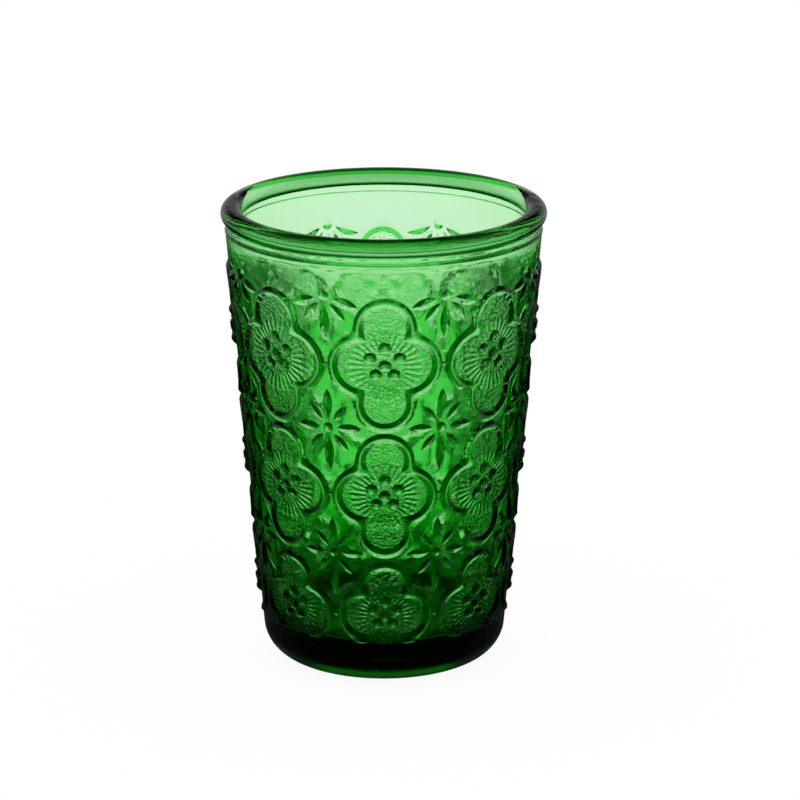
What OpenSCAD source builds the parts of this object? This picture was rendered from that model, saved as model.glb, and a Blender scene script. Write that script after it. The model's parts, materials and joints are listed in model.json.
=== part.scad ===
/* [Overall] */
// Height from the table to the top of the rim
glass_h = 122; // [116:0.5:128]
// Outside diameter of the rim bead
rim_d = 84.6; // [80:0.2:90]
// Diameter of the tapered wall's outside, carried down to the table
foot_line_d = 62.5; // [58:0.5:66]

/* [Rim] */
// Width of the rim bead, from inside to outside
bead_w = 5.6; // [5:0.1:6.4]
// Height of the rim bead's full section
bead_h = 4.6; // [4.2:0.1:5.2]
// How far the bead stands out past the neck band
bead_proud = 1.2; // [0.6:0.1:1.6]
// How much of the bead's section is sunk below the seat on the neck band
bead_sunk = 0.6; // [0.4:0.1:1]
// Height of the plain neck band under the bead
neck_h = 2.7; // [2:0.1:5]

/* [Wall and base] */
// Wall thickness under the bead
wall_top_t = 3.7; // [3:0.1:4.2]
// Wall thickness where the inside meets the floor
wall_floor_t = 5; // [4:0.1:6]
// Thickness of the floor at its rim
floor_t = 11; // [8:0.5:14]
// Depth of the dish in the middle of the floor
floor_dish = 1; // [0.5:0.1:2]
// Radius of the round corner inside, between wall and floor
inner_corner_r = 6; // [4:0.5:8]
// Radius of the rounded heel outside
heel_r = 9; // [7:0.5:11]
// Depth of the hollow under the base
underside_dish = 0.8; // [0.4:0.1:1.2]
// Width of the flat ring that the glass stands on
bearing_w = 3; // [2:0.5:5]
// Height of the base piece, up to its seam with the wall
base_h = 20; // [19:0.5:24]

/* [Quatrefoils] */
// Number of quatrefoil columns round the glass
columns = 8; // [6:1:8]
// Height from the table to the lower edge of the pattern
pattern_base_z = 12.8; // [12:0.1:14]
// Distance from the neck band down to the middle of the upper row
upper_row_drop = 26.3; // [25:0.1:28]
// Distance from the pattern's lower edge up to the middle of the lower row
lower_row_rise = 7.5; // [7:0.1:8.5]
// Gap between neighbouring frames of a row, between their middle lines
frame_side_gap = 3.4; // [2.8:0.1:4]
// Gap between an upper and a middle frame, between their middle lines
frame_row_gap = 2.7; // [2.4:0.1:4]
// Width of the raised frame
frame_w = 1.6; // [1:0.1:1.8]
// Height of the raised frame over the wall
frame_relief = 0.7; // [0.4:0.05:1]
// Height, up the wall, of the short ties between neighbouring frames
tie_h = 0.7; // [0.4:0.1:1]
// How far a tie stands out from the wall
tie_relief = 0.5; // [0.3:0.05:0.6]
// Gap between a tie and the frame at each of its ends
tie_clearance = 0.2; // [0.1:0.05:0.4]

/* [Pearls] */
// Number of pearls round the middle one
ring_pearls = 5; // [4:1:6]
// Radius of the ring that the outer pearls' centres lie on
pearl_ring_r = 3.9; // [3.8:0.1:4.4]
// Rise of that ring's centre over the middle pearl
pearl_ring_rise = 0.8; // [0:0.1:0.8]
// Diameter of a pearl where it meets the wall
pearl_d = 2.9; // [2.2:0.1:2.9]
// Height of a pearl over the wall
pearl_relief = 0.9; // [0.5:0.05:1.2]
// Height of the upright edge round a pearl or a button
dome_edge_h = 0.15; // [0.1:0.05:0.25]

/* [Florets] */
// Width of an upright or level petal
petal_w = 2.3; // [1.6:0.1:2.6]
// Width of a slanted petal
slant_petal_w = 1.8; // [1.2:0.1:2]
// Height of a petal's ridge over the wall
petal_relief = 0.7; // [0.4:0.05:0.9]
// Diameter of the button in the middle of a floret
button_d = 2.7; // [2:0.1:3]
// Height of the button over the wall
button_relief = 0.6; // [0.4:0.05:0.9]
// Distance from the floret's middle to a petal's root
petal_root = 2.4; // [2:0.1:2.8]
// Rise of a floret's middle over the line halfway between two rows
floret_rise = 0.5; // [0:0.1:1]

/* [Hidden] */

turn_faces = 360;
arc_faces = 96;
dome_faces = 96;
ridge_faces = 180;
full_turn = 360;
half_turn = full_turn / 2;
quarter_turn = full_turn / 4;

glass_green = [0.16, 0.62, 0.2, 0.75];
relief_green = [0.1, 0.5, 0.14, 0.85];

// Heights of the seams between the pieces
bead_seat_z = glass_h - bead_h + bead_sunk;
neck_bottom_z = bead_seat_z - neck_h;

// Outside of the wall, a cone
rim_r = rim_d / 2;
neck_r = rim_r - bead_proud;
foot_line_r = foot_line_d / 2;
taper = atan((neck_r - foot_line_r) / neck_bottom_z);
function wall_r(z) = foot_line_r + z * tan(taper);

// Inside of the wall, a slightly steeper cone that runs on to the bead
inner_top_r = neck_r - wall_top_t;
inner_floor_r = wall_r(floor_t) - wall_floor_t;
inner_taper = atan((inner_top_r - inner_floor_r) / (neck_bottom_z - floor_t));
function inner_r(z) = inner_floor_r + (z - floor_t) * tan(inner_taper);

// Rounded heel, tangent to the wall and to the table
heel_top_z = heel_r * (1 - sin(taper));
heel_mid_r = wall_r(heel_top_z) - heel_r * cos(taper);

// Rounded corner inside, tangent to the wall and to the floor
corner_top_z = floor_t + inner_corner_r * (1 - sin(inner_taper));
corner_mid_r = inner_r(corner_top_z) - inner_corner_r * cos(inner_taper);

// Radius of the sphere whose cap has the given rim radius and height
function cap_sphere_r(rim, high) = (pow(rim, 2) + pow(high, 2)) / (2 * high);

// Rows of the pattern, upper, middle and lower
middle_row_share = 0.514;
row_height_shares = [1, 0.946, 0.83];
upper_row_z = neck_bottom_z - upper_row_drop;
lower_row_z = pattern_base_z + lower_row_rise;
row_span = upper_row_z - lower_row_z;
row_z = [upper_row_z, upper_row_z - middle_row_share * row_span, lower_row_z];
row_pitch = row_z[0] - row_z[1];
column_step = full_turn / columns;

// Every row is drawn smaller with the wall's own radius
function row_scale(z) = wall_r(z) / wall_r(row_z[0]);

// Middle line of a frame, as four lobes
function frame_half_h(row) = row_height_shares[row] * (row_pitch - frame_row_gap)
    / (row_height_shares[0] + row_height_shares[1]) / cos(taper);
function frame_half_w(z) = wall_r(z) * sin(column_step / 2)
    - frame_side_gap / 2 * row_scale(z);
upright_lobe_share = 0.51;
side_lobe_share = 0.57;

// Places of the pearls about a quatrefoil's middle, along and up the wall
pearl_step = full_turn / ring_pearls;
pearl_spots = [
    [0, 0],
    for (pearl = [0 : ring_pearls - 1])
        [
            pearl_ring_r * cos(quarter_turn + pearl * pearl_step),
            pearl_ring_rise + pearl_ring_r * sin(quarter_turn + pearl * pearl_step)
        ]
];

// Heights of the florets' middles, above the upper row and between rows
floret_z = [
    row_z[0] + row_pitch / 2 + floret_rise,
    (row_z[0] + row_z[1]) / 2 + floret_rise,
    (row_z[1] + row_z[2]) / 2 + floret_rise
];

// Reach of the upright petals from a floret's middle, as shares of the row pitch
up_reach_share = 0.31;
down_reach_share = 0.35;

// Reach of the other petals, as shares of the room between two columns
column_room = 2 * wall_r(row_z[0]) * sin(column_step / 2);
level_reach_share = 0.303;
slant_reach_share = 0.279;
slant_angle = 50;
droop_angle = 18;

// Overlap that lets one shape cut another cleanly
overrun = 2;

// Puts a piece of relief on the wall at an angle and a height, facing out
module on_wall(angle, z)
{
    rotate([0, 0, angle])
        translate([0, -wall_r(z), z])
            rotate([quarter_turn + taper, 0, 0])
                children();
}

// Puts a piece at a distance along and up the wall from a place on it
module along_wall(angle, z, along, up)
{
    up_z = z + up * cos(taper);
    on_wall(angle + along / wall_r(up_z) * half_turn / PI, up_z)
        children();
}

// Solid cone whose side is the outside of the wall
module wall_core()
{
    translate([0, 0, -overrun])
        cylinder(
            h = neck_bottom_z + 2 * overrun,
            r1 = wall_r(-overrun),
            r2 = wall_r(neck_bottom_z + overrun),
            $fn = turn_faces
        );
}

// Skin over the wall with an even thickness, in which the frames lie
module wall_skin(thick)
{
    difference()
    {
        translate([0, 0, pattern_base_z])
            cylinder(
                h = neck_bottom_z - pattern_base_z,
                r1 = wall_r(pattern_base_z) + thick,
                r2 = wall_r(neck_bottom_z) + thick,
                $fn = turn_faces
            );
        wall_core();
    }
}

// Rounded bar with the bead's width and height
module bead_section()
{
    end_r = bead_h / 2;
    end_step = bead_w / 2 - end_r;
    translate([rim_r - bead_w / 2, glass_h - end_r])
    {
        for (side = [-1, 1])
            translate([side * end_step, 0])
                circle(r = end_r, $fn = arc_faces);
        square([2 * end_step, bead_h], center = true);
    }
}

module rim_bead()
{
    color(glass_green)
        rotate_extrude($fn = turn_faces)
            intersection()
            {
                bead_section();
                translate([0, bead_seat_z])
                    square([rim_r + overrun, bead_h]);
            }
}

module neck_band()
{
    color(glass_green)
        rotate_extrude($fn = turn_faces)
            polygon([
                [inner_r(neck_bottom_z), neck_bottom_z],
                [neck_r, neck_bottom_z],
                [neck_r, bead_seat_z],
                [inner_r(bead_seat_z), bead_seat_z]
            ]);
}

module tapered_wall()
{
    color(glass_green)
        rotate_extrude($fn = turn_faces)
            polygon([
                [inner_r(base_h), base_h],
                [wall_r(base_h), base_h],
                [wall_r(neck_bottom_z), neck_bottom_z],
                [inner_r(neck_bottom_z), neck_bottom_z]
            ]);
}

// Outline of half a shallow round cap that stands on a line
module cap_outline(rim, high)
{
    ball_r = cap_sphere_r(rim, high);
    intersection()
    {
        translate([0, high - ball_r])
            circle(r = ball_r, $fn = turn_faces);
        square([rim, high]);
    }
}

// Outline of the base from the axis to the outside, heel included
module base_outside()
{
    polygon([
        [0, 0],
        [heel_mid_r, 0],
        [heel_mid_r, heel_r],
        [wall_r(heel_top_z), heel_top_z],
        [wall_r(base_h), base_h],
        [0, base_h]
    ]);
    translate([heel_mid_r, heel_r])
        circle(r = heel_r, $fn = arc_faces);
}

// Outline of the hollow inside the base, corner and dish included
module base_inside()
{
    polygon([
        [0, floor_t],
        [corner_mid_r, floor_t],
        [corner_mid_r, floor_t + inner_corner_r],
        [inner_r(corner_top_z), corner_top_z],
        [inner_r(base_h + overrun), base_h + overrun],
        [0, base_h + overrun]
    ]);
    translate([corner_mid_r, floor_t + inner_corner_r])
        circle(r = inner_corner_r, $fn = arc_faces);
    translate([0, floor_t])
        mirror([0, 1])
            cap_outline(corner_mid_r, floor_dish);
}

module heavy_base()
{
    color(glass_green)
        rotate_extrude($fn = turn_faces)
            difference()
            {
                base_outside();
                base_inside();
                cap_outline(heel_mid_r - bearing_w, underside_dish);
            }
}

// Four round lobes about a middle point, grown or shrunk by a margin
module four_lobes(half_w, half_h, margin)
{
    upright_r = upright_lobe_share * half_w;
    side_r = side_lobe_share * half_w;
    upright_y = half_h - upright_r;
    side_x = half_w - side_r;
    polygon([[0, upright_y], [side_x, 0], [0, -upright_y], [-side_x, 0]]);
    for (side = [-1, 1])
    {
        translate([0, side * upright_y])
            circle(r = upright_r + margin, $fn = dome_faces);
        translate([side * side_x, 0])
            circle(r = side_r + margin, $fn = dome_faces);
    }
}

// One frame as an upright band through the wall, before the skin trims it
module frame_band(row)
{
    half_w = frame_half_w(row_z[row]);
    half_h = frame_half_h(row);
    edge = frame_w / 2;
    sink = half_w * tan(column_step / 2);
    translate([0, 0, -sink])
        linear_extrude(height = sink + 2 * frame_relief)
            difference()
            {
                four_lobes(half_w, half_h, edge);
                four_lobes(half_w, half_h, -edge);
            }
}

module frames(row)
{
    color(relief_green)
        for (column = [0 : columns - 1])
            intersection()
            {
                on_wall(column * column_step, row_z[row])
                    frame_band(row);
                wall_skin(frame_relief);
            }
}

module upper_frames() { frames(0); }

module middle_frames() { frames(1); }

module lower_frames() { frames(2); }

// Short level bars that bridge most of the gap between neighbouring frames
module frame_ties()
{
    color(relief_green)
        for (column = [0 : columns - 1], z = row_z)
            intersection()
            {
                tie_w = frame_side_gap * row_scale(z) - frame_w - 2 * tie_clearance;
                on_wall((column + 1 / 2) * column_step, z)
                    cube([tie_w, tie_h, 2 * overrun], center = true);
                wall_skin(tie_relief);
            }
}

// Round dome with a low upright edge, reaching down into the wall
module dome(across, high)
{
    rim = across / 2;
    ball_r = cap_sphere_r(rim, high - dome_edge_h);
    intersection()
    {
        translate([0, 0, -rim])
            cylinder(h = across, r = rim, $fn = dome_faces);
        translate([0, 0, high - ball_r])
            sphere(r = ball_r, $fn = dome_faces);
    }
}

module pearls(row)
{
    z = row_z[row];
    small = row_scale(z);
    color(relief_green)
        for (column = [0 : columns - 1], spot = pearl_spots)
            difference()
            {
                along_wall(column * column_step, z, small * spot[0], small * spot[1])
                    dome(pearl_d * small, pearl_relief);
                wall_core();
            }
}

module upper_pearls() { pearls(0); }

module middle_pearls() { pearls(1); }

module lower_pearls() { pearls(2); }

// Pointed petal with a sharp ridge, as the lens shared by two balls
module petal(long, wide, high)
{
    half_l = long / 2;
    half_w = wide / 2;
    edge_r = cap_sphere_r(half_l, high);
    apart = (pow(half_l, 2) - pow(half_w, 2)) / (2 * half_w);
    ball_r = sqrt(pow(apart, 2) + pow(edge_r, 2));
    translate([0, 0, high - edge_r])
        intersection()
        {
            translate([apart, 0, 0])
                sphere(r = ball_r, $fn = ridge_faces);
            translate([-apart, 0, 0])
                rotate([0, 0, half_turn])
                    sphere(r = ball_r, $fn = ridge_faces);
        }
}

// One petal of a floret, from its root to its reach, in a direction
module floret_petal(turn, z, direction, reach, wide)
{
    small = row_scale(z);
    root = petal_root * small;
    middle = (root + reach * small) / 2;
    intersection()
    {
        along_wall(turn, z, middle * cos(direction), middle * sin(direction))
            rotate([0, 0, direction - quarter_turn])
                petal(reach * small - root, wide * small, petal_relief);
        wall_skin(2 * petal_relief);
    }
}

// Directions, reaches and widths of the petals of a whole and a half floret
whole_petals = [
    for (side = [0, 1]) [side * half_turn, level_reach_share * column_room, petal_w],
    [quarter_turn, up_reach_share * row_pitch, petal_w],
    [-quarter_turn, down_reach_share * row_pitch, petal_w],
    for (side = [0, 1], rise = [-1, 1])
        [side * half_turn + rise * slant_angle, slant_reach_share * column_room, slant_petal_w]
];
half_petals = [
    [-quarter_turn, up_reach_share * row_pitch, petal_w],
    [-droop_angle, level_reach_share * column_room, petal_w],
    [droop_angle - half_turn, level_reach_share * column_room, petal_w],
    [-slant_angle, slant_reach_share * column_room, slant_petal_w],
    [slant_angle - half_turn, slant_reach_share * column_room, slant_petal_w]
];

module floret_row(level, petals)
{
    color(relief_green)
        for (column = [0 : columns - 1], p = petals)
            floret_petal((column + 1 / 2) * column_step, floret_z[level], p[0], p[1], p[2]);
}

module half_floret_petals() { floret_row(0, half_petals); }

module upper_floret_petals() { floret_row(1, whole_petals); }

module lower_floret_petals() { floret_row(2, whole_petals); }

module floret_buttons()
{
    color(relief_green)
        for (column = [0 : columns - 1], z = floret_z)
            difference()
            {
                on_wall((column + 1 / 2) * column_step, z)
                    dome(button_d * row_scale(z), button_relief);
                wall_core();
            }
}

rim_bead();
neck_band();
tapered_wall();
heavy_base();
upper_frames();
middle_frames();
lower_frames();
frame_ties();
upper_pearls();
middle_pearls();
lower_pearls();
half_floret_petals();
upper_floret_petals();
lower_floret_petals();
floret_buttons();
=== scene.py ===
"""Pressed-glass tumbler with quatrefoils, pearls and florets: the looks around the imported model."""

import json
import math

import bmesh
import bpy
import numpy as np
from mathutils import Matrix, Vector

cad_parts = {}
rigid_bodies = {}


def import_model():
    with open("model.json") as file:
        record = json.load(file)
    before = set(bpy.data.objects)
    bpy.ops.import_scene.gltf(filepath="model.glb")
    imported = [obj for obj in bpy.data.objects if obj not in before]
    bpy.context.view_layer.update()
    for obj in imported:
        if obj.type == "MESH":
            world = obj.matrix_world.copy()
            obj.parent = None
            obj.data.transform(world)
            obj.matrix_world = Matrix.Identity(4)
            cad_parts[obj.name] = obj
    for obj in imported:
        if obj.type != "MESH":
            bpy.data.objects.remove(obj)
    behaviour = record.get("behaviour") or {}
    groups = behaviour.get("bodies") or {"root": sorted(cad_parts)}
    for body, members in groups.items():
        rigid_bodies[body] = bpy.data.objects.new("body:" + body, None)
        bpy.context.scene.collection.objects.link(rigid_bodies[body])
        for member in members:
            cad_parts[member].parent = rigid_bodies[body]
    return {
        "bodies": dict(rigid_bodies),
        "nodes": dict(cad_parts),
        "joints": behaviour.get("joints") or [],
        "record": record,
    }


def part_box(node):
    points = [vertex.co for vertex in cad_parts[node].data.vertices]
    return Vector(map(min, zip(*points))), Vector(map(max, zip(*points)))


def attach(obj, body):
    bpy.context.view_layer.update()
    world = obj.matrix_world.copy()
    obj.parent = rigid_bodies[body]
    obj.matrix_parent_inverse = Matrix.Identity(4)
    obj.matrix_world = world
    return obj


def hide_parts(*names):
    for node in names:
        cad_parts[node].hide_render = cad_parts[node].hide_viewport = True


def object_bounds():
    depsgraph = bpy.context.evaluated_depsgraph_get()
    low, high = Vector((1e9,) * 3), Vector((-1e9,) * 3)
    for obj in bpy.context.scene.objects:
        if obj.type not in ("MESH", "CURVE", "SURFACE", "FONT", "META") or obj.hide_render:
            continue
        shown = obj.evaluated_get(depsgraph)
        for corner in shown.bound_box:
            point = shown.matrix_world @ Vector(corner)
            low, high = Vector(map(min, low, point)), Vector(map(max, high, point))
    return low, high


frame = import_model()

bl_info = {
    "name": "Pressed Glass Tumbler",
    "version": (1, 0, 0),
    "blender": (4, 5, 0),
    "location": "3D View > Sidebar > Tumbler",
    "description": "Builds a green pressed-glass tumbler with a raised pattern, and its studio",
    "category": "Object",
}

MM = 0.001
MERGE = 0.001 * MM

# The glass is spun in sectors, with its plain stretches coarser than its pattern
SECTORS = 8
COARSER = 4

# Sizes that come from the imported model, in metres
CAD_BOX = [list(corner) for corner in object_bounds()]
GLASS_H = CAD_BOX[1][2]
RIM_R = (CAD_BOX[1][0] - CAD_BOX[0][0]) / 2
NECK_LOW, NECK_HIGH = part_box("neck_band")
FRAME_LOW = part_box("lower_frames")[0]


# Sizes and colours


def length(name, description, default, low=0.0, high=1.0):
    """A size in metres for the panel."""
    return bpy.props.FloatProperty(
        name=name, description=description, default=default, min=low, max=high,
        unit="LENGTH", precision=5,
    )


class TUMBLER_PG_body(bpy.types.PropertyGroup):
    """Sizes of the plain glass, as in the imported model, and of its two fine lines."""

    bead_width: length("Bead width", "Width of the rim bead, inside to outside", 0.0056)
    bead_height: length("Bead height", "Height of the rim bead", 0.0046)
    wall_top: length("Wall under the bead", "Wall thickness at the neck", 0.0037)
    wall_floor: length("Wall at the floor", "Wall thickness where it meets the floor", 0.005)
    floor_thickness: length("Floor thickness", "Thickness of the floor at its rim", 0.011)
    floor_dish: length("Floor dish", "Depth of the dish in the floor", 0.001)
    inner_corner: length("Inner corner", "Radius of the corner inside", 0.006)
    heel_radius: length("Heel radius", "Radius of the rounded heel", 0.009)
    bearing_width: length("Bearing ring", "Width of the ring that the glass stands on", 0.003)
    underside_dish: length("Underside dish", "Depth of the hollow under the base", 0.0008)
    parting_step: length("Parting line", "Height of the mould's parting line", 0.00018)
    groove_depth: length("Groove depth", "Depth of the groove under the bead", 0.00014)
    columns: bpy.props.IntProperty(
        name="Mesh columns", description="Faces round the patterned wall",
        default=480, min=240, max=512,
    )
    rows: bpy.props.IntProperty(
        name="Mesh rows", description="Faces up the patterned wall",
        default=152, min=80, max=170,
    )


class TUMBLER_PG_pattern(bpy.types.PropertyGroup):
    """Sizes of the raised pattern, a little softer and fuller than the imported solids."""

    frame_width: length("Frame width", "Width of a quatrefoil frame", 0.0027)
    frame_height: length("Frame height", "Height of a frame over the wall", 0.0008)
    waist: length("Frame waist", "Rounding where two lobes of a frame meet", 0.0025)
    pearl_width: length("Pearl width", "Diameter of a pearl", 0.0034)
    pearl_height: length("Pearl height", "Height of a pearl over the wall", 0.0012)
    petal_width: length("Petal width", "Width of an upright or level petal", 0.0027)
    slant_width: length("Slanted petal width", "Width of a slanted petal", 0.0022)
    petal_height: length("Petal height", "Height of a petal's ridge", 0.0008)
    button_width: length("Button width", "Diameter of a floret's button", 0.0027)
    button_height: length("Button height", "Height of a floret's button", 0.0006)
    rib_height: length("Rib height", "Height of the ribs that fan out in the lobes", 0.00017)
    stipple_height: length("Stipple height", "Height of the grains in the lobes", 0.0001)
    ripple_height: length("Ripple height", "Height of the pressed wall's ripples", 0.0001)


class TUMBLER_PG_finish(bpy.types.PropertyGroup):
    """Colour and finish of the glass, with painted shade at its edges and on its rim bead."""

    tint: bpy.props.FloatVectorProperty(
        name="Glass tint", description="Colour that the thickness of the glass lets through",
        subtype="COLOR", size=3, default=(0.05, 0.77, 0.05), min=0.0, max=1.0,
    )
    density: bpy.props.FloatProperty(
        name="Tint density", description="How fast the tint builds up, per metre",
        default=160.0, min=0.0, max=600.0,
    )
    # Painted shade: the glass's colour is darkened where it is seen edge on
    painted_edge_shade: bpy.props.FloatVectorProperty(
        name="Edge tint", description="Colour of the glass where it is seen edge on",
        subtype="COLOR", size=3, default=(0.1, 0.4, 0.12), min=0.0, max=1.0,
    )
    # Painted shade: the rim bead's colour is made darker than the rest of the glass
    painted_bead_shade: bpy.props.FloatVectorProperty(
        name="Bead tint", description="Deeper colour of the thick rolled bead",
        subtype="COLOR", size=3, default=(0.16, 0.4, 0.18), min=0.0, max=1.0,
    )
    roughness: bpy.props.FloatProperty(
        name="Roughness", description="Roughness of the fire-polished skin",
        default=0.06, min=0.0, max=1.0, subtype="FACTOR",
    )
    shine_tint: bpy.props.FloatVectorProperty(
        name="Shine tint", description="Colour of what the glass mirrors face on",
        subtype="COLOR", size=3, default=(0.2, 0.45, 0.22), min=0.0, max=1.0,
    )
    stipple_scale: bpy.props.FloatProperty(
        name="Stipple scale", description="Grains of the stipple in a metre, roughly",
        default=1500.0, min=1.0,
    )
    ripple_scale: bpy.props.FloatProperty(
        name="Ripple scale", description="Ripples of the wall in a metre, roughly",
        default=220.0, min=1.0,
    )
    bending: bpy.props.FloatProperty(
        name="Refractive index", description="How strongly the glass bends light",
        default=1.5, min=1.0, max=2.0,
    )


class TUMBLER_PG_studio(bpy.types.PropertyGroup):
    """Camera and light."""

    camera_distance: length("Camera distance", "From the glass's axis", 1.0036, 0.3, 3.0)
    camera_height: length("Camera height", "Above the table", 0.366, 0.0, 2.0)
    camera_side: length("Camera side step", "To the right of the glass", 0.0042, -0.1, 0.1)
    camera_pitch: bpy.props.FloatProperty(
        name="Camera pitch", description="How far the camera looks down",
        default=math.radians(16.5), subtype="ANGLE",
    )
    camera_turn: bpy.props.FloatProperty(
        name="Camera turn", description="How far round the glass the camera stands",
        default=math.radians(-0.6), subtype="ANGLE",
    )
    lens: bpy.props.FloatProperty(
        name="Lens", description="Focal length in millimetres", default=179.4, min=20.0,
    )
    tent_radius: length("Tent radius", "Radius of the light tent", 0.11, 0.05, 2.0)
    tent_height: length("Tent height", "Height of the light tent", 0.6, 0.1, 2.0)
    panel_half: bpy.props.FloatProperty(
        name="Panel half width", description="Half the width of each bright panel",
        default=math.radians(16), subtype="ANGLE",
    )
    panel_widening: bpy.props.FloatProperty(
        name="Panel widening", description="How much wider each side of a panel is near its top",
        default=math.radians(34), subtype="ANGLE",
    )
    panel_shoulder: length("Panel shoulder", "Height at which the panels widen", 0.08)
    shoulder_soft: length("Soft shoulder", "Height over which they widen, up and down", 0.004)
    panel_soft: bpy.props.FloatProperty(
        name="Panel soft edge", description="How softly a panel ends",
        default=math.radians(4), subtype="ANGLE",
    )
    front_level: bpy.props.FloatProperty(
        name="Front level", description="Brightness of the panel on the camera's side",
        default=0.55, min=0.0, max=1.0, subtype="FACTOR",
    )
    corner_half: bpy.props.FloatProperty(
        name="Corner half width", description="Half the width of each dimmer corner panel",
        default=math.radians(11), subtype="ANGLE",
    )
    corner_level: bpy.props.FloatProperty(
        name="Corner level", description="Brightness of the corner panels",
        default=0.3, min=0.0, max=1.0, subtype="FACTOR",
    )
    gap_tint: bpy.props.FloatVectorProperty(
        name="Gap tint", description="Dim light between the panels",
        subtype="COLOR", size=3, default=(0.015, 0.13, 0.02), min=0.0, max=1.0,
    )
    low_edge: bpy.props.FloatProperty(
        name="Backdrop low edge", description="Rise at which the backdrop begins",
        default=math.radians(-38), subtype="ANGLE",
    )
    high_edge: bpy.props.FloatProperty(
        name="Backdrop high edge", description="Rise at which the backdrop ends",
        default=math.radians(14), subtype="ANGLE",
    )
    backdrop_level: bpy.props.FloatProperty(
        name="Backdrop level", description="Brightness of the backdrop", default=1.04,
    )
    shine_level: bpy.props.FloatProperty(
        name="Shine level", description="Brightness of the backdrop in reflections", default=0.35,
    )
    box_level: bpy.props.FloatProperty(
        name="Softbox level", description="Brightness of the softboxes at both sides", default=2.2,
    )
    far_table: length("Far table", "Distance at which the table is at its brightest", 0.355)
    far_soft: length("Far table's soft edge", "How softly it brightens, both ways", 0.03)
    # Painted shadow: the table seen through the glass is coloured green nearer the glass
    painted_green_cast: bpy.props.FloatVectorProperty(
        name="Near tint", description="Green cast of the glass on the table nearer than that",
        subtype="COLOR", size=3, default=(0.2, 0.82, 0.22), min=0.0, max=1.0,
    )
    shade_tint: bpy.props.FloatVectorProperty(
        name="Shade tint", description="Dim light on the table under and beside the glass",
        subtype="COLOR", size=3, default=(0.012, 0.12, 0.02), min=0.0, max=1.0,
    )
    shade_from: length("Shade from", "Distance at which the shade begins to lighten", 0.085)
    shade_to: length("Shade to", "Distance at which the shade ends", 0.15)
    floor_radius: length("Table radius", "Radius of the pale table", 0.45, 0.05, 2.0)


# Values that are numbers or nodes


class Wire:
    """A value in a shader tree that is reckoned with like a number."""

    def __init__(self, tree, socket):
        self.tree = tree
        self.socket = socket

    def join(self, operation, *values):
        """A new value from a Math node."""
        node = self.tree.nodes.new("ShaderNodeMath")
        node.operation = operation
        for slot, value in zip(node.inputs, values):
            if isinstance(value, Wire):
                self.tree.links.new(value.socket, slot)
            else:
                slot.default_value = float(value)
        return Wire(self.tree, node.outputs[0])

    def __add__(self, other):
        return self.join("ADD", self, other)

    def __radd__(self, other):
        return self.join("ADD", other, self)

    def __sub__(self, other):
        return self.join("SUBTRACT", self, other)

    def __rsub__(self, other):
        return self.join("SUBTRACT", other, self)

    def __mul__(self, other):
        return self.join("MULTIPLY", self, other)

    def __rmul__(self, other):
        return self.join("MULTIPLY", other, self)

    def __truediv__(self, other):
        return self.join("DIVIDE", self, other)

    def __neg__(self):
        return self.join("MULTIPLY", self, -1.0)

    def __abs__(self):
        return self.join("ABSOLUTE", self)


def wired(operation, plain):
    """A function that makes a Math node for nodes and calls plain for numbers."""

    def both(*values):
        for value in values:
            if isinstance(value, Wire):
                return value.join(operation, *values)
        return plain(*values)

    return both


least = wired("MINIMUM", np.minimum)
most = wired("MAXIMUM", np.maximum)
root = wired("SQRT", np.sqrt)
sine = wired("SINE", np.sin)
cosine = wired("COSINE", np.cos)
bearing = wired("ARCTAN2", np.arctan2)
above = wired("GREATER_THAN", lambda a, b: (np.asarray(a) > b) * 1.0)
whole = wired("FLOOR", np.floor)


def reach(x, y):
    """Distance of a point from the middle."""
    return root(x * x + y * y)


def clamp(value):
    """The value held between 0 and 1."""
    return least(most(value, 0.0), 1.0)


def fade(value, low, high):
    """0 at low, 1 at high, smooth between."""
    share = clamp((value - low) / (high - low))
    return share * share * (3.0 - 2.0 * share)


def blend_of(low, high, share):
    """The value a share of the way from low to high."""
    return low + (high - low) * share


def melt(first, second, width):
    """The lesser of two distances, rounded where they meet."""
    near = most(width - abs(first - second), 0.0)
    return least(first, second) - near * near / (4.0 * width)


# The raised pattern


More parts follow.
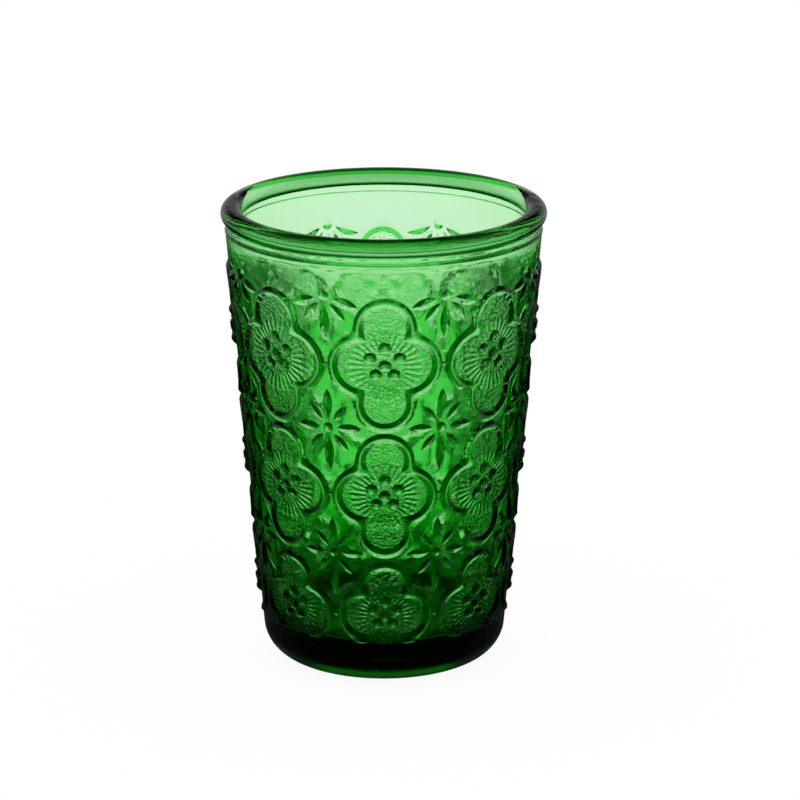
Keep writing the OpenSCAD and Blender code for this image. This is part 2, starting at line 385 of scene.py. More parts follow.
class Pattern:
    """Raised pattern as a height over the wall, at a place on it.

    It is reckoned once for the mesh, and once as nodes for the fine shading.
    Its lengths are in millimetres."""

    # The wall: its radius carried down to the table, and the depth that counts as its outside
    columns = 8
    foot_line_r = 31.25
    skin = 1.5

    # The rows: from the neck band down, from the pattern's foot up, and the middle one between
    upper_row_drop = 26.3
    lower_row_rise = 7.5
    middle_row_share = 0.514

    # The frames: gaps between their middle lines, their lobes, and how round the ridge is
    height_shares = (1.0, 0.946, 0.83)
    frame_row_gap = 2.7
    frame_side_gap = 3.4
    upright_share = 0.51
    side_share = 0.57
    crest = 0.3

    # The pearls: a ring of them, a little above the middle one
    ring_pearls = 5
    pearl_ring = 3.9
    pearl_rise = 0.8

    # The ribs: where they fade in and out, from the frame inwards and from the middle outwards
    rib_count = 32
    rib_edge = (1.0, 2.2)
    rib_start = (5.0, 6.0)
    rib_end = (8.7, 9.9)
    field_edge = (0.6, 1.6)

    # The florets: their petals reach shares of the room between rows and between columns
    floret_rise = 0.5
    petal_root = 2.4
    up_share = 0.31
    down_share = 0.35
    level_share = 0.303
    slant_share = 0.279
    slant_angle = math.radians(50)
    droop_angle = math.radians(18)

    # The ties, and how softly the pattern is cut off at its foot
    tie_relief = 0.5
    tie_end = (0.3, 0.8)
    tie_side = (0.1, 0.5)
    cut_soft = 0.25

    def __init__(self, sizes):
        self.sizes = {key: getattr(sizes, key) / MM for key in sizes.__annotations__}
        self.base = FRAME_LOW.z / MM
        self.neck_z = NECK_LOW.z / MM
        self.slope = (NECK_HIGH.x / MM - self.foot_line_r) / self.neck_z
        self.taper = math.atan(self.slope)

        upper = self.neck_z - self.upper_row_drop
        lower = self.base + self.lower_row_rise
        middle = upper - self.middle_row_share * (upper - lower)
        pitch = upper - middle
        self.row_heights = (upper, middle, lower)
        tallest = (pitch - self.frame_row_gap) / sum(self.height_shares[:2]) / math.cos(self.taper)
        self.half_heights = [share * tallest for share in self.height_shares]
        self.half_widths = [
            self.wall(z) * math.sin(math.pi / self.columns)
            - self.frame_side_gap / 2 * self.wall(z) / self.wall(upper)
            for z in self.row_heights
        ]
        self.floret_heights = [
            z + self.floret_rise for z in (upper + pitch / 2, (upper + middle) / 2, (middle + lower) / 2)
        ]
        room = 2 * self.wall(upper) * math.sin(math.pi / self.columns)
        self.up_reach = self.up_share * pitch
        self.down_reach = self.down_share * pitch
        self.level_reach = self.level_share * room
        self.slant_reach = self.slant_share * room

    def wall(self, z):
        """Radius of the plain wall's outside."""
        return self.foot_line_r + z * self.slope

    def scale(self, z):
        """How small the pattern is drawn at a height."""
        return self.wall(z) / self.wall(self.row_heights[0])

    def column_place(self, x, y, z, shift):
        """Distance along the wall from the nearest column's middle."""
        turns = bearing(x, y * -1.0) * (self.columns / math.tau) - shift
        part = turns - whole(turns + 0.5)
        return self.wall(z) * sine(part * (math.tau / self.columns))

    def is_skin(self, radius, z, low, high):
        """Whether a point is on the wall's outside, between two heights."""
        slack = MERGE / MM * 10
        return (radius > self.wall(z) - self.skin) & (z > low - slack) & (z < high + slack)

    def dome(self, away, width, high):
        """Round cap of a width and height, at a distance from its middle."""
        half = width / 2
        ball = (half * half + high * high) / (2 * high)
        lift = root(most(ball * ball - away * away, 0.0))
        return most(lift - (ball - high), 0.0)

    def petal(self, along, across, root_at, reach_at, width):
        """Pointed petal with a ridge, from its root to its reach."""
        high = self.sizes["petal_height"]
        half = (reach_at - root_at) / 2
        middle = (reach_at + root_at) / 2
        edge = (half * half + high * high) / (2 * high)
        apart = (half * half - width * width / 4) / width
        ball2 = apart * apart + edge * edge
        off = along - middle
        wide = abs(across) + apart
        lift = root(most(ball2 - wide * wide - off * off, 0.0))
        return most(lift - (edge - high), 0.0)

    def rows(self, z, values, low, high):
        """The value of the row that z is in, for upper, middle and lower rows split at two heights."""
        value = blend_of(values[2], values[1], above(z, low))
        return value + above(z, high) * (values[0] - values[1])

    def quatrefoil(self, x, y, z):
        """Frame, pearls and ribs of the nearest quatrefoil."""
        s = self.sizes
        heights, halves = self.row_heights, self.half_heights
        split = [
            (heights[row] + halves[row] + heights[row - 1] - halves[row - 1]) / 2 for row in (2, 1)
        ]
        middle = self.rows(z, heights, *split)
        half_h = self.rows(z, halves, *split)
        half_w = self.rows(z, self.half_widths, *split)
        small = self.scale(middle)
        side = self.column_place(x, y, z, 0.0)
        flank = abs(side)
        up = (z - middle) / math.cos(self.taper)
        rise = abs(up)

        upright = half_w * self.upright_share
        lobe = half_w * self.side_share
        upright_y = half_h - upright
        side_x = half_w - lobe
        out = melt(
            reach(flank - side_x, rise) - lobe, reach(flank, rise - upright_y) - upright, s["waist"]
        )
        core = (flank * upright_y + rise * side_x - side_x * upright_y) / reach(side_x, upright_y)
        out = least(out, core)

        across = least(abs(out) / (s["frame_width"] / 2), 1.0)
        full = reach(1.0, self.crest)
        frame = s["frame_height"] * (full - reach(across, self.crest)) / (full - self.crest)

        ring = self.pearl_ring * small
        lift = self.pearl_rise * small
        step = math.tau / self.ring_pearls
        away = least(reach(flank, up), reach(flank, up - lift - ring))
        for turn in range(1, (self.ring_pearls + 1) // 2):
            spot_x = ring * math.sin(turn * step)
            spot_y = lift + ring * math.cos(turn * step)
            away = least(away, reach(flank - spot_x, up - spot_y))
        pearls = self.dome(away, s["pearl_width"] * small, s["pearl_height"])

        far = reach(side, up)
        inside = -out
        stop = fade(inside, *self.rib_edge) * fade(far / small, *self.rib_start)
        stop = stop * (1.0 - fade(far / small, *self.rib_end))
        fan = cosine(bearing(up, side) * float(self.rib_count))
        ribs = s["rib_height"] * stop * (fan + 1.0) / 2.0
        field = fade(inside, *self.field_edge)
        return frame, pearls, ribs, field

    def floret(self, x, y, z):
        """Petals and button of the nearest floret, and the distance from its middle line."""
        s = self.sizes
        heights = self.floret_heights
        splits = (self.row_heights[1], self.row_heights[0])
        middle = self.rows(z, heights, *splits)
        small = self.scale(middle)
        half = above(z, splits[1])
        side = self.column_place(x, y, z, 0.5)
        flank = abs(side)
        up = (z - middle) / math.cos(self.taper)
        start = self.petal_root * small
        whole_one = 1.0 - half

        droop = half * -self.droop_angle
        level_c, level_s = cosine(droop), sine(droop)
        slant_c, slant_s = math.cos(self.slant_angle), math.sin(self.slant_angle)
        wide = s["petal_width"] * small
        narrow = s["slant_width"] * small
        down_to = blend_of(self.down_reach, self.up_reach, half) * small
        petals = self.petal(up, side, start, self.up_reach * small, wide) * whole_one
        petals = most(petals, self.petal(up * -1.0, side, start, down_to, wide))
        petals = most(petals, self.petal(
            flank * level_c + up * level_s, up * level_c - flank * level_s,
            start, self.level_reach * small, wide,
        ))
        petals = most(petals, self.petal(
            flank * slant_c + up * slant_s, up * slant_c - flank * slant_s,
            start, self.slant_reach * small, narrow,
        ) * whole_one)
        petals = most(petals, self.petal(
            flank * slant_c - up * slant_s, up * slant_c + flank * slant_s,
            start, self.slant_reach * small, narrow,
        ))
        button = self.dome(reach(side, up), s["button_width"] * small, s["button_height"])
        return most(petals, button), flank

    def ties(self, flank, z):
        """Short level bars between neighbouring frames."""
        heights = self.row_heights
        splits = ((heights[1] + heights[2]) / 2, (heights[0] + heights[1]) / 2)
        off = abs(z - self.rows(z, heights, *splits))
        end = 1.0 - fade(flank, *self.tie_end)
        return self.tie_relief * end * (1.0 - fade(off, *self.tie_side))

    def height(self, x, y, z):
        """Height of the raised pattern, height of the ribs, and where the stippled field lies."""
        frame, pearls, ribs, field = self.quatrefoil(x, y, z)
        florets, flank = self.floret(x, y, z)
        ties = self.ties(flank, z)
        on_wall = fade(z, self.base - self.cut_soft, self.base + self.cut_soft)
        on_wall = on_wall * (1.0 - above(z, self.neck_z))
        tall = most(most(most(frame, pearls), florets), ties) * on_wall
        return tall, ribs * on_wall, field * on_wall


# The glass's mesh

# Steps of the outline's round and straight stretches
UNDER_STEPS = 8
HEEL_STEPS = 16
BEAD_STEPS = (18, 14)
INNER_STEPS = 24
CORNER_STEPS = 10
FLOOR_STEPS = 6

# How far the fine rows of faces start below the pattern, and end under the neck band
ROWS_BELOW = 0.5 * MM
ROWS_UNDER_NECK = 6.5 * MM
COARSE_ROWS = (0.35, 0.7)

# Fine lines of the neck, as height in millimetres and share of the line's own height
PARTING_LINE = ((-0.35, 0.0), (-0.18, 0.6), (0.0, 1.0), (0.18, 0.6), (0.35, 0.0))
GROOVE_LINE = ((-1.3, 0.0), (-0.8, 0.6), (-0.5, 0.4), (-0.32, -0.4), (-0.2, -1.0))

# Angles at which the bead's outline begins under its outside and ends under its inside
BEAD_TUCK = 3
BEAD_INSIDE = 205
INNER_START = 1.2 * MM


def arc(cx, cz, radius, start, end, steps):
    """Points of an arc in the profile's plane, angles in degrees."""
    points = []
    for i in range(steps + 1):
        angle = math.radians(start + (end - start) * i / steps)
        points.append((cx + radius * math.cos(angle), cz + radius * math.sin(angle)))
    return points


def cap(rim, high, base_z, way, steps):
    """Points of a shallow cap from its rim to the axis."""
    ball = (rim * rim + high * high) / (2 * high)
    points = []
    for i in range(steps + 1):
        r = rim * (1 - i / steps)
        points.append((r, base_z + way * (math.sqrt(ball * ball - r * r) - (ball - high))))
    return points


def glass_profile(body, pattern):
    """Closed outline from the axis under the base, up the outside and down the inside."""
    slope = pattern.slope
    taper = math.degrees(pattern.taper)
    foot_r = pattern.foot_line_r * MM

    def outer(z):
        """Radius of the wall's outside."""
        return foot_r + z * slope

    heel = body.heel_radius
    heel_z = heel * (1 - math.sin(pattern.taper))
    heel_r = outer(heel_z) - heel * math.cos(pattern.taper)
    base_z = FRAME_LOW.z
    neck_z, neck_top = NECK_LOW.z, NECK_HIGH.z
    neck_r = NECK_HIGH.x

    under = cap(heel_r - body.bearing_width, body.underside_dish, 0.0, 1, UNDER_STEPS)
    points = list(reversed(under))
    points += arc(heel_r, heel, heel, -90, -taper, HEEL_STEPS)
    points.append((outer((heel_z + base_z) / 2), (heel_z + base_z) / 2))
    low = base_z - ROWS_BELOW
    top = neck_z - ROWS_UNDER_NECK
    for i in range(body.rows + 1):
        z = low + (top - low) * i / body.rows
        points.append((outer(z), z))
    for share in COARSE_ROWS:
        z = top + (neck_z - top) * share
        points.append((outer(z), z))
    for z, out in PARTING_LINE:
        points.append((neck_r + out * body.parting_step, neck_z + z * MM))

    end_r = body.bead_height / 2
    shift = body.bead_width / 2 - end_r
    mid_r = RIM_R - body.bead_width / 2
    mid_z = GLASS_H - end_r
    meet = math.degrees(math.acos((neck_r - mid_r - shift) / end_r))
    for z, out in GROOVE_LINE:
        points.append((neck_r + out * body.groove_depth, neck_top + z * MM))
    points += arc(mid_r + shift, mid_z, end_r, -meet - BEAD_TUCK, 90, BEAD_STEPS[0])
    points += arc(mid_r - shift, mid_z, end_r, 90, BEAD_INSIDE, BEAD_STEPS[1])

    inner_top = neck_r - body.wall_top
    inner_low = outer(body.floor_thickness) - body.wall_floor
    inner_slope = (inner_top - inner_low) / (neck_z - body.floor_thickness)
    inner_taper = math.atan(inner_slope)

    def inner(z):
        """Radius of the wall's inside."""
        return inner_low + (z - body.floor_thickness) * inner_slope

    for z in (neck_top - INNER_START, neck_z):
        points.append((inner(z), z))
    corner = body.inner_corner
    corner_z = body.floor_thickness + corner * (1 - math.sin(inner_taper))
    corner_r = inner(corner_z) - corner * math.cos(inner_taper)
    for i in range(1, INNER_STEPS):
        z = neck_z + (corner_z - neck_z) * i / INNER_STEPS
        points.append((inner(z), z))
    points += arc(
        corner_r, body.floor_thickness + corner, corner,
        -math.degrees(inner_taper), -90, CORNER_STEPS,
    )
    points += cap(corner_r, body.floor_dish, body.floor_thickness, -1, FLOOR_STEPS)[1:]
    return points, low, top


def spin_profile(name, points, columns, is_fine, coarser):
    """A closed solid of revolution, with fewer columns where is_fine(radius, z) is false."""
    bm = bmesh.new()
    verts = [bm.verts.new((0.0, -r, z)) for r, z in points]
    edges = [bm.edges.new(pair) for pair in zip(verts, verts[1:])]
    around = {"cent": (0, 0, 0), "axis": (0, 0, 1), "use_merge": False}
    bmesh.ops.spin(
        bm, geom=verts + edges, angle=math.tau / SECTORS, steps=columns // SECTORS,
        use_duplicate=False, **around,
    )
    bmesh.ops.spin(
        bm, geom=bm.verts[:] + bm.edges[:] + bm.faces[:], steps=SECTORS - 1,
        angle=math.tau * (SECTORS - 1) / SECTORS, use_duplicate=True, **around,
    )
    step = math.tau / columns
    for vert in bm.verts:
        x, y, z = vert.co
        radius = math.hypot(x, y)
        if radius < MERGE:
            vert.co = (0.0, 0.0, z)
            continue
        unit = step if is_fine(radius, z) else step * coarser
        angle = math.floor(math.atan2(x, -y) / unit + 0.5) * unit
        vert.co = (radius * math.sin(angle), -radius * math.cos(angle), z)
    bmesh.ops.remove_doubles(bm, verts=bm.verts[:], dist=MERGE)
    bmesh.ops.recalc_face_normals(bm, faces=bm.faces[:])
    mesh = bpy.data.meshes.new(name)
    bm.to_mesh(mesh)
    bm.free()
    mesh.polygons.foreach_set("use_smooth", [True] * len(mesh.polygons))
    mesh.update()
    return mesh


def press_pattern(mesh, pattern, low, top):
    """Moves the outer wall's points out by the raised pattern, and keeps the wall's smooth normals."""
    count = len(mesh.vertices)
    co = np.zeros(count * 3)
    mesh.vertices.foreach_get("co", co)
    co = co.reshape(-1, 3)
    normals = np.zeros(count * 3)
    mesh.vertices.foreach_get("normal", normals)
    normals = normals.reshape(-1, 3).copy()
    place = co / MM
    radius = np.hypot(place[:, 0], place[:, 1])
    on_wall = pattern.is_skin(radius, place[:, 2], low / MM, top / MM)
    spots = place[on_wall]
    tall = pattern.height(spots[:, 0], spots[:, 1], spots[:, 2])[0]
    out = np.stack([spots[:, 0], spots[:, 1], np.zeros(len(spots))], axis=1)
    out /= np.linalg.norm(out, axis=1)[:, None]
    out *= math.cos(pattern.taper)
    out[:, 2] = -math.sin(pattern.taper)
    co[on_wall] += out * (tall * MM)[:, None]
    normals[on_wall] = out
    mesh.vertices.foreach_set("co", co.reshape(-1))
    mesh.update()
    mesh.normals_split_custom_set_from_vertices(normals.tolist())


# Nodes that the materials share

WHITE = (1.0, 1.0, 1.0)


def new_group(name, inputs, outputs):
    """An empty shader node group with named sockets."""
    tree = bpy.data.node_groups.new(name, "ShaderNodeTree")
    for label, kind in inputs:
        tree.interface.new_socket(label, in_out="INPUT", socket_type=kind)
    for label, kind in outputs:
        tree.interface.new_socket(label, in_out="OUTPUT", socket_type=kind)
    start = tree.nodes.new("NodeGroupInput")
    end = tree.nodes.new("NodeGroupOutput")
    return tree, start, end


def falloff_group():
    """White where the share is full, falling to green and then to a dim tint."""
    tree, start, end = new_group(
        "Green falloff",
        [("Share", "NodeSocketFloat"), ("Dim", "NodeSocketColor")],
        [("Color", "NodeSocketColor")],
    )
    share = Wire(tree, start.outputs["Share"])
    split = tree.nodes.new("ShaderNodeSeparateColor")
    tree.links.new(start.outputs["Dim"], split.inputs[0])
    join = tree.nodes.new("ShaderNodeCombineColor")
    deep = share * share * share
    for i, part in enumerate((deep, share, deep)):
        tree.links.new(blend_of(Wire(tree, split.outputs[i]), 1.0, part).socket, join.inputs[i])
    tree.links.new(join.outputs[0], end.inputs["Color"])
    return tree


def add_group(tree, group):
    """A node that holds a group."""
    node = tree.nodes.new("ShaderNodeGroup")
    node.node_tree = group
    return node


def parts_of(tree, socket):
    """The x, y and z of a vector."""
    split = tree.nodes.new("ShaderNodeSeparateXYZ")
    tree.links.new(socket, split.inputs[0])
    return [Wire(tree, output) for output in split.outputs]


def noise(tree, place, scale, detail):
    """Noise over the object's own coordinates, about 0 to 1."""
    node = tree.nodes.new("ShaderNodeTexNoise")
    node.inputs["Scale"].default_value = scale
    node.inputs["Detail"].default_value = detail
    tree.links.new(place.outputs["Object"], node.inputs["Vector"])
    return Wire(tree, node.outputs["Fac"])


def bare_material(name):
    """A material with an empty node tree."""
    material = bpy.data.materials.new(name)
    material.use_nodes = True
    material.node_tree.nodes.clear()
    return material, material.node_tree


def mixed(tree, share, first, second, kind="MIX"):
    """A colour between two, each a node's output or a colour."""
    node = tree.nodes.new("ShaderNodeMix")
    node.data_type = "RGBA"
    node.blend_type = kind
    if isinstance(share, Wire):
        tree.links.new(share.socket, node.inputs["Factor"])
    else:
        node.inputs["Factor"].default_value = share
    for label, colour in (("A", first), ("B", second)):
        if isinstance(colour, bpy.types.NodeSocket):
            tree.links.new(colour, node.inputs[label])
        else:
            node.inputs[label].default_value = (*colour, 1.0)
    return node.outputs["Result"]


def falling(tree, group, share, dim):
    """The green falloff's colour for a share."""
    node = add_group(tree, group)
    tree.links.new(share.socket, node.inputs["Share"])
    node.inputs["Dim"].default_value = (*dim, 1.0)
    return node.outputs["Color"]


# The glass material

# Where the noise turns into grains, and where the glass begins to count as edge on and takes its painted
# shade
STIPPLE_EDGE = (0.45, 0.7)
EDGE_SHADE_FACING = (0.55, 0.95)


def pattern_group(pattern):
    """Height of the raised pattern, its ribs and its stippled field, in millimetres."""
    tree, start, end = new_group(
        "Raised pattern",
        [("Place", "NodeSocketVector")],
        [("Height", "NodeSocketFloat"), ("Field", "NodeSocketFloat")],
    )
    x, y, z = (part * (1.0 / MM) for part in parts_of(tree, start.outputs["Place"]))
    tall, ribs, field = pattern.height(x, y, z)
    outside = above(reach(x, y), pattern.wall(z) - pattern.skin)
    height = (tall + ribs) * outside
    tree.links.new(height.socket, end.inputs["Height"])
    tree.links.new((field * outside).socket, end.inputs["Field"])
    return tree


def glass_material(pattern, body, sizes, finish):
    """Green pressed glass: tint by thickness, painted shade at the edges and on the rim bead, and the
    pattern's fine shading.
    """
    material, tree = bare_material("green pressed glass")
    nodes, links = tree.nodes, tree.links
    shader = nodes.new("ShaderNodeBsdfPrincipled")
    shader.inputs["Transmission Weight"].default_value = 1.0
    shader.inputs["Metallic"].default_value = 0.0
    shader.inputs["IOR"].default_value = finish.bending
    shader.inputs["Roughness"].default_value = finish.roughness
    shader.inputs["Specular Tint"].default_value = (*finish.shine_tint, 1.0)
    volume = nodes.new("ShaderNodeVolumeAbsorption")
    volume.inputs["Color"].default_value = (*finish.tint, 1.0)
    volume.inputs["Density"].default_value = finish.density
    output = nodes.new("ShaderNodeOutputMaterial")
    links.new(shader.outputs[0], output.inputs["Surface"])
    links.new(volume.outputs[0], output.inputs["Volume"])

    place = nodes.new("ShaderNodeTexCoord")
    raised = add_group(tree, pattern_group(pattern))
    links.new(place.outputs["Object"], raised.inputs["Place"])
    height = Wire(tree, raised.outputs["Height"])
    field = Wire(tree, raised.outputs["Field"])

    grains = fade(noise(tree, place, finish.stipple_scale, 1.0), *STIPPLE_EDGE)
    waves = noise(tree, place, finish.ripple_scale, 4.0)
    total = height + grains * field * (sizes.stipple_height / MM)
    total = total + waves * (sizes.ripple_height / MM)
    bump = nodes.new("ShaderNodeBump")
    bump.inputs["Strength"].default_value = 1.0
    bump.inputs["Distance"].default_value = MM
    links.new(total.socket, bump.inputs["Height"])
    links.new(bump.outputs[0], shader.inputs["Normal"])

    # Painted shade: the glass's colour darkens towards its edges, by how edge on the surface faces
    facing = nodes.new("ShaderNodeLayerWeight")
    facing.inputs["Blend"].default_value = 0.5
    edge = fade(Wire(tree, facing.outputs["Facing"]), *EDGE_SHADE_FACING)
    tint = mixed(tree, edge, WHITE, finish.painted_edge_shade)
    # Painted shade: the glass is coloured darker on the rim bead
    x, y, z = parts_of(tree, place.outputs["Object"])
    on_bead = fade(z, NECK_HIGH.z, NECK_HIGH.z + MM)
    on_bead = on_bead * fade(reach(x, y), RIM_R - body.bead_width / 2, RIM_R - body.bead_width / 4)
    links.new(mixed(tree, on_bead, tint, finish.painted_bead_shade), shader.inputs["Base Color"])
    return material


class TUMBLER_OT_glass(bpy.types.Operator):
    """Build the pressed glass with its bead, wall, base and raised pattern"""

    bl_idname = "tumbler.glass"
    bl_label = "Build the glass"
    bl_options = {"REGISTER", "UNDO"}

    def execute(self, context):
        scene = context.scene
        body = scene.tumbler_body
        pattern = Pattern(scene.tumbler_pattern)
        points, low, top = glass_profile(body, pattern)

        def is_fine(radius, z):
            """Whether a point of the outline carries the pattern."""
            return pattern.is_skin(radius / MM, z / MM, low / MM, top / MM)

        mesh = spin_profile("tumbler_glass", points, body.columns, is_fine, COARSER)
        press_pattern(mesh, pattern, low, top)
        glass = bpy.data.objects.new("tumbler_glass", mesh)
        scene.collection.objects.link(glass)
        mesh.materials.append(
            glass_material(pattern, body, scene.tumbler_pattern, scene.tumbler_finish)
        )
        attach(glass, "root")
        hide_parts(*sorted(frame["nodes"]))
        return {"FINISHED"}


# The stage

# The tent's bright panels, how round its pieces are, and the table's drop under the foot
PANELS = 4
TENT_SIDES = 128
TABLE_SIDES = 96
TABLE_DROP = 0.02 * MM

# The camera's sensor in millimetres, and the nearest thing that it sees in metres
SENSOR_WIDTH = 36.0
NEAR_CLIP = 0.01

# The table: its own colour, how much of what the eye sees is glow, and its fine grain
TABLE_COLOUR = (0.82, 0.82, 0.82)
TABLE_GLOW = 1.03
TABLE_GLOW_SHARE = 0.9
TABLE_MIRRORED = 0.03
TABLE_GRAIN_SCALE = 900.0
TABLE_GRAIN_HEIGHT = 0.02 * MM

# The world, by its rise and its side, as parts of a direction one long
LOW_SOFT = 0.08
HIGH_SOFT = (0.1, 0.15)
POLE_RISE = (0.8, 0.93)
POLE_SHARE = 0.6
BOX_SIDE = (0.62, 0.72)
BOX_FOOT = (0.5, 0.58)
BOX_HEAD = (0.68, 0.74)
DARKEST_SHINE = 0.01
ROOM = (0.9, 0.9, 0.9)


def tent_material(studio, group):
    """Light tent: clear to the eye, bright panels at four sides to light through the glass."""
    material, tree = bare_material("light tent")
    nodes, links = tree.nodes, tree.links
    place = nodes.new("ShaderNodeTexCoord")
    away_x, away_y, height = parts_of(tree, place.outputs["Object"])
    rays = nodes.new("ShaderNodeLightPath")
    lit = most(
        Wire(tree, rays.outputs["Is Transmission Ray"]), Wire(tree, rays.outputs["Is Glossy Ray"])
    )
    turns = bearing(away_x, away_y) * (PANELS / math.tau)
    off = abs(turns - whole(turns + 0.5)) * (math.tau / PANELS)
    soft = studio.panel_soft
    shoulder, shoulder_soft = studio.panel_shoulder, studio.shoulder_soft
    on_top = fade(height, shoulder - shoulder_soft, shoulder + shoulder_soft)
    half = on_top * studio.panel_widening + studio.panel_half
    main = 1.0 - fade(off, half - soft, half + soft)
    main = main * blend_of(1.0, studio.front_level, above(away_y * -1.0, abs(away_x)))
    between = math.pi / PANELS - off
    half = studio.corner_half
    corner = (1.0 - fade(between, half - soft, half + soft)) * studio.corner_level
    panels = falling(tree, group, most(main, corner), studio.gap_tint)
    sheet = nodes.new("ShaderNodeBsdfTransparent")
    links.new(mixed(tree, lit, WHITE, panels), sheet.inputs["Color"])
    output = nodes.new("ShaderNodeOutputMaterial")
    links.new(sheet.outputs[0], output.inputs["Surface"])
    return material


def table_material(studio, group):
    """Pale table: white with a faint shadow to the eye; through the glass, a painted green shadow and
    painted shade, dimmer near the glass.
    """
    material, tree = bare_material("pale table")
    nodes, links = tree.nodes, tree.links
    place = nodes.new("ShaderNodeTexCoord")
    away = reach(*parts_of(tree, place.outputs["Object"])[:2])
    rays = nodes.new("ShaderNodeLightPath")
    seen = Wire(tree, rays.outputs["Is Camera Ray"])
    through = Wire(tree, rays.outputs["Is Transmission Ray"])
    glossy = Wire(tree, rays.outputs["Is Glossy Ray"])

    # Painted shadow: through the glass the table is green near the glass, and painted shade makes it dim
    # under and beside it
    far_soft = studio.far_soft
    far = fade(away, studio.far_table - far_soft, studio.far_table + far_soft)
    cast = mixed(tree, far, studio.painted_green_cast, WHITE)
    lighter = fade(away, studio.shade_from, studio.shade_to)
    shade = falling(tree, group, lighter, studio.shade_tint)
    behind = nodes.new("ShaderNodeBsdfTransparent")
    links.new(mixed(tree, 1.0, cast, shade, "MULTIPLY"), behind.inputs["Color"])

    glow = nodes.new("ShaderNodeEmission")
    glow_level = seen * TABLE_GLOW + glossy * TABLE_MIRRORED
    links.new(glow_level.socket, glow.inputs["Strength"])
    pale = nodes.new("ShaderNodeBsdfDiffuse")
    pale.inputs["Color"].default_value = (*TABLE_COLOUR, 1.0)
    bump = nodes.new("ShaderNodeBump")
    bump.inputs["Distance"].default_value = TABLE_GRAIN_HEIGHT
    links.new(noise(tree, place, TABLE_GRAIN_SCALE, 2.0).socket, bump.inputs["Height"])
    links.new(bump.outputs[0], pale.inputs["Normal"])
    plain = nodes.new("ShaderNodeMixShader")
    links.new((1.0 - seen * TABLE_GLOW_SHARE).socket, plain.inputs[0])
    links.new(glow.outputs[0], plain.inputs[1])
    links.new(pale.outputs[0], plain.inputs[2])
    top = nodes.new("ShaderNodeMixShader")
    links.new(glossy.socket, top.inputs[0])
    links.new(plain.outputs[0], top.inputs[1])
    links.new(glow.outputs[0], top.inputs[2])
    both = nodes.new("ShaderNodeMixShader")
    links.new(through.socket, both.inputs[0])
    links.new(top.outputs[0], both.inputs[1])
    links.new(behind.outputs[0], both.inputs[2])
    output = nodes.new("ShaderNodeOutputMaterial")
    links.new(both.outputs[0], output.inputs["Surface"])
    return material


def studio_world(studio, group):
    """White to the eye; to the glass a bright band that falls to green, and a softbox each side."""
    world = bpy.data.worlds.new("studio")
    world.use_nodes = True
    tree = world.node_tree
    nodes, links = tree.nodes, tree.links
    nodes.clear()
    place = nodes.new("ShaderNodeTexCoord")
    rays = nodes.new("ShaderNodeLightPath")
    seen = Wire(tree, rays.outputs["Is Camera Ray"])
    through = Wire(tree, rays.outputs["Is Transmission Ray"])
    glossy = Wire(tree, rays.outputs["Is Glossy Ray"])
    direction = parts_of(tree, place.outputs["Generated"])
    across, rise = direction[0], direction[2]
    low, high = math.sin(studio.low_edge), math.sin(studio.high_edge)
    share = fade(rise, low - LOW_SOFT, low + LOW_SOFT)
    share = share * (1.0 - fade(rise, high - HIGH_SOFT[0], high + HIGH_SOFT[1]))
    backdrop = falling(tree, group, share, studio.gap_tint)
    level = studio.backdrop_level
    backdrop = mixed(tree, 1.0, backdrop, (level, level, level), "MULTIPLY")
    poles = fade(abs(rise), *POLE_RISE) * POLE_SHARE
    backdrop = mixed(tree, poles, backdrop, WHITE)
    box = fade(abs(across), *BOX_SIDE) * fade(rise, *BOX_FOOT) * (1.0 - fade(rise, *BOX_HEAD))
    shine = nodes.new("ShaderNodeCombineColor")
    shine_level = share * studio.shine_level + box * studio.box_level + DARKEST_SHINE
    for i in range(3):
        links.new(shine_level.socket, shine.inputs[i])
    around = mixed(tree, glossy, ROOM, shine.outputs[0])
    colour = mixed(tree, through, around, backdrop)
    colour = mixed(tree, seen, colour, WHITE)
    sky = nodes.new("ShaderNodeBackground")
    links.new(colour, sky.inputs["Color"])
    output = nodes.new("ShaderNodeOutputWorld")
    links.new(sky.outputs[0], output.inputs["Surface"])
    return world


def set_out(scene, name, bm, lift, material):
    """A piece of the stage from its bmesh, lifted to its height."""
    bmesh.ops.translate(bm, verts=bm.verts[:], vec=(0, 0, lift))
    mesh = bpy.data.meshes.new(name)
    bm.to_mesh(mesh)
    bm.free()
    piece = bpy.data.objects.new(name, mesh)
    scene.collection.objects.link(piece)
    mesh.materials.append(material)


def stage_camera(scene, studio):
    """The camera at the photograph's angle."""
    lens = bpy.data.cameras.new("camera")
    lens.sensor_width = SENSOR_WIDTH
    lens.lens = studio.lens
    lens.clip_start = NEAR_CLIP
    lens.dof.use_dof = False
    camera = bpy.data.objects.new("camera", lens)
    spot = Vector((studio.camera_side, -studio.camera_distance, studio.camera_height))
    camera.location = Matrix.Rotation(studio.camera_turn, 3, "Z") @ spot
    camera.rotation_euler = (math.pi / 2 - studio.camera_pitch, 0.0, studio.camera_turn)
    scene.collection.objects.link(camera)
    return camera


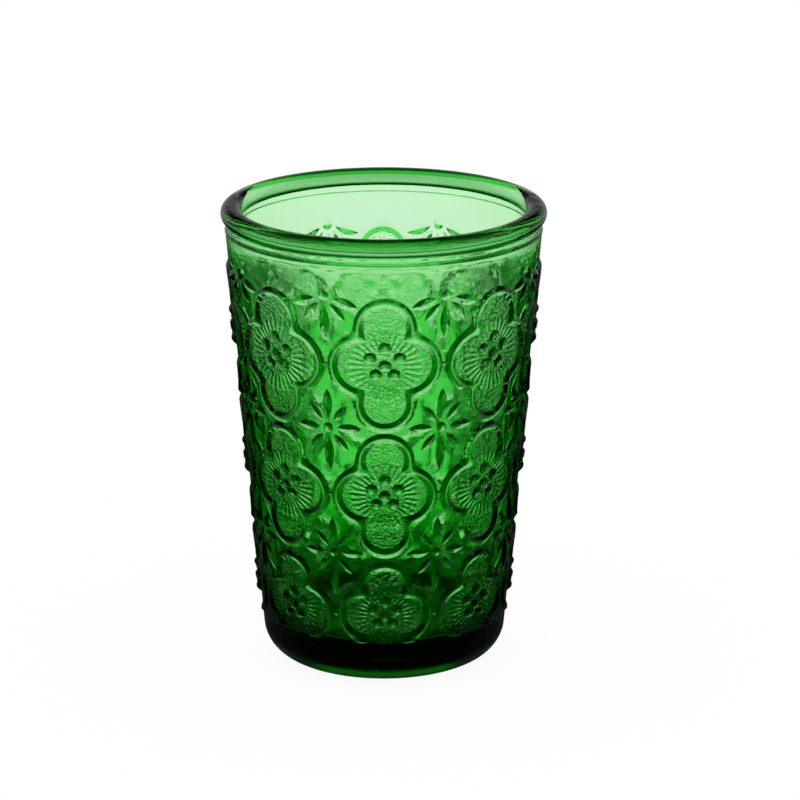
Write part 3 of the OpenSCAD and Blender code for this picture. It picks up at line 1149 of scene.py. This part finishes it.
class TUMBLER_OT_stage(bpy.types.Operator):
    """Set the pale table, the studio's light and the camera"""

    bl_idname = "tumbler.stage"
    bl_label = "Set the stage"
    bl_options = {"REGISTER", "UNDO"}

    def execute(self, context):
        scene = context.scene
        studio = scene.tumbler_studio
        group = falloff_group()
        table_bm = bmesh.new()
        bmesh.ops.create_circle(
            table_bm, cap_ends=True, radius=studio.floor_radius, segments=TABLE_SIDES
        )
        for face in table_bm.faces:
            if face.normal.z < 0:
                face.normal_flip()
        set_out(scene, "table", table_bm, -TABLE_DROP, table_material(studio, group))

        tent_bm = bmesh.new()
        bmesh.ops.create_cone(
            tent_bm, cap_ends=False, radius1=studio.tent_radius, radius2=studio.tent_radius,
            depth=studio.tent_height, segments=TENT_SIDES,
        )
        set_out(scene, "light_tent", tent_bm, studio.tent_height / 2, tent_material(studio, group))

        scene.world = studio_world(studio, group)
        scene.camera = stage_camera(scene, studio)
        scene.view_settings.view_transform = "Standard"
        return {"FINISHED"}


# Panel and registration


class TUMBLER_PT_panel(bpy.types.Panel):
    """Sizes, finish and studio of the tumbler"""

    bl_idname = "TUMBLER_PT_panel"
    bl_label = "Tumbler"
    bl_space_type = "VIEW_3D"
    bl_region_type = "UI"
    bl_category = "Tumbler"

    def draw(self, context):
        layout = self.layout
        scene = context.scene
        for title, group in (
            ("Glass", scene.tumbler_body),
            ("Pattern", scene.tumbler_pattern),
            ("Finish", scene.tumbler_finish),
            ("Studio", scene.tumbler_studio),
        ):
            box = layout.box()
            box.label(text=title)
            for key in group.__annotations__:
                box.prop(group, key)
        layout.operator(TUMBLER_OT_glass.bl_idname)
        layout.operator(TUMBLER_OT_stage.bl_idname)


CLASSES = (
    TUMBLER_PG_body,
    TUMBLER_PG_pattern,
    TUMBLER_PG_finish,
    TUMBLER_PG_studio,
    TUMBLER_OT_glass,
    TUMBLER_OT_stage,
    TUMBLER_PT_panel,
)


def register():
    """Makes the classes and their settings known to Blender."""
    for cls in CLASSES:
        bpy.utils.register_class(cls)
    scene = bpy.types.Scene
    scene.tumbler_body = bpy.props.PointerProperty(type=TUMBLER_PG_body)
    scene.tumbler_pattern = bpy.props.PointerProperty(type=TUMBLER_PG_pattern)
    scene.tumbler_finish = bpy.props.PointerProperty(type=TUMBLER_PG_finish)
    scene.tumbler_studio = bpy.props.PointerProperty(type=TUMBLER_PG_studio)


def unregister():
    """Takes them out again."""
    for key in ("tumbler_body", "tumbler_pattern", "tumbler_finish", "tumbler_studio"):
        delattr(bpy.types.Scene, key)
    for cls in reversed(CLASSES):
        bpy.utils.unregister_class(cls)


def main():
    """Builds the glass and its stage."""
    register()
    bpy.ops.tumbler.glass()
    bpy.ops.tumbler.stage()
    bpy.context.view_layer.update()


if __name__ == "__main__":
    main()
